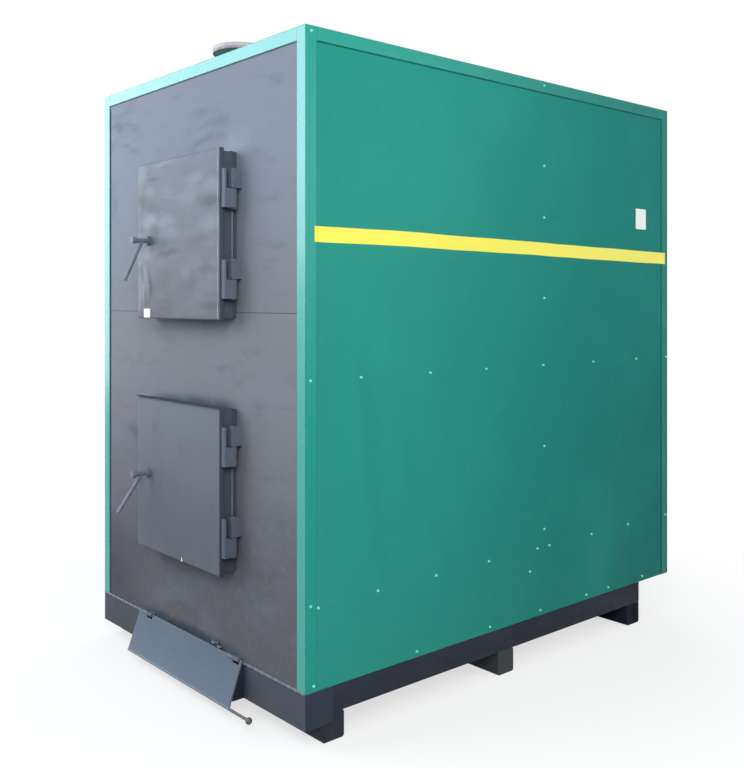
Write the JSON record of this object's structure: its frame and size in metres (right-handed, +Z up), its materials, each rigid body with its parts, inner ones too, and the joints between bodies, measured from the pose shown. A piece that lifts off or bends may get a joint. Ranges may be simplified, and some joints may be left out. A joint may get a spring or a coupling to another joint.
{
  "type": "industrial boiler",
  "caption": "Hand-fired hot-water boiler in a green sheet casing on a steel skid base, with hinged fire doors, turning latches and a bottom air flap.",
  "frame": {"origin": "floor level, under the middle of the middle runner", "axes": "+Z up, -Y towards the fire doors, +X to the right seen from the front"},
  "size_m": [1.28, 2.1334, 2.152],
  "materials": {
    "casing_green": "powder-coated sheet, satin",
    "front_grey": "dark grey paint, uneven satin",
    "base_navy": "blue-black paint, dusty",
    "flap_slate": "blue-grey paint, satin",
    "boiler_steel": "sooty mill-scale steel",
    "grate_iron": "rough cast",
    "door_lining": "fibre board, matte",
    "latch_steel": "worn bar steel"
  },
  "bodies": {
    "boiler": {"side_panel_left": "casing_green", "side_panel_right": "casing_green", "rear_panel": "casing_green", "rear_soffit": "casing_green", "roof_panel": "casing_green", "corner_trim_front_left": "casing_green", "corner_trim_front_right": "casing_green", "corner_trim_rear_left": "casing_green", "corner_trim_rear_right": "casing_green", "top_trims": "casing_green", "front_apron": "front_grey", "front_plate_lower": "front_grey", "front_plate_upper": "front_grey", "upper_door_frame": "front_grey", "upper_hinge_posts": "front_grey", "lower_door_frame": "front_grey", "lower_hinge_posts": "front_grey", "side_beam_left": "base_navy", "side_beam_right": "base_navy", "rear_beam": "base_navy", "runner_front": "base_navy", "runner_middle": "base_navy", "runner_rear": "base_navy", "air_duct": "base_navy", "supply_pipe": "base_navy", "supply_flange": "base_navy", "return_pipe": "base_navy", "return_flange": "base_navy", "flue_duct": "base_navy", "flue_flange": "base_navy", "flap_lugs": "flap_slate", "ash_floor": "boiler_steel", "jacket_left": "boiler_steel", "jacket_right": "boiler_steel", "jacket_rear": "boiler_steel", "crown": "boiler_steel", "furnace_shelf": "boiler_steel", "grate": "grate_iron", "grate_bearers": "grate_iron"},
    "upper_door": {"upper_door_leaf": "front_grey", "upper_door_lining": "door_lining", "upper_hinge_arms": "front_grey"},
    "upper_latch_handle": {"upper_latch": "latch_steel"},
    "lower_door": {"lower_door_leaf": "front_grey", "lower_door_lining": "door_lining", "lower_hinge_arms": "front_grey"},
    "lower_latch_handle": {"lower_latch": "latch_steel"},
    "flap_leaf": {"air_flap": "flap_slate"}
  },
  "joints": [
    {"name": "upper_door_hinge", "type": "hinge", "parent": "boiler", "child": "upper_door", "pos_m": [0.3005, -0.885, 1.4825], "axis": [0, 0, 1], "range_deg": [0, 105]},
    {"name": "upper_latch_turn", "type": "hinge", "parent": "upper_door", "child": "upper_latch_handle", "pos_m": [-0.1685, -0.95, 1.4825], "axis": [0, 1, 0], "range_deg": [0, 90]},
    {"name": "lower_door_hinge", "type": "hinge", "parent": "boiler", "child": "lower_door", "pos_m": [0.3005, -0.885, 0.688], "axis": [0, 0, 1], "range_deg": [0, 105]},
    {"name": "lower_latch_turn", "type": "hinge", "parent": "lower_door", "child": "lower_latch_handle", "pos_m": [-0.1685, -0.95, 0.688], "axis": [0, 1, 0], "range_deg": [0, 90]},
    {"name": "flap_hinge", "type": "hinge", "parent": "boiler", "child": "flap_leaf", "pos_m": [0, -0.871, 0.1675], "axis": [-1, 0, 0], "range_deg": [0, 75]}
  ]
}
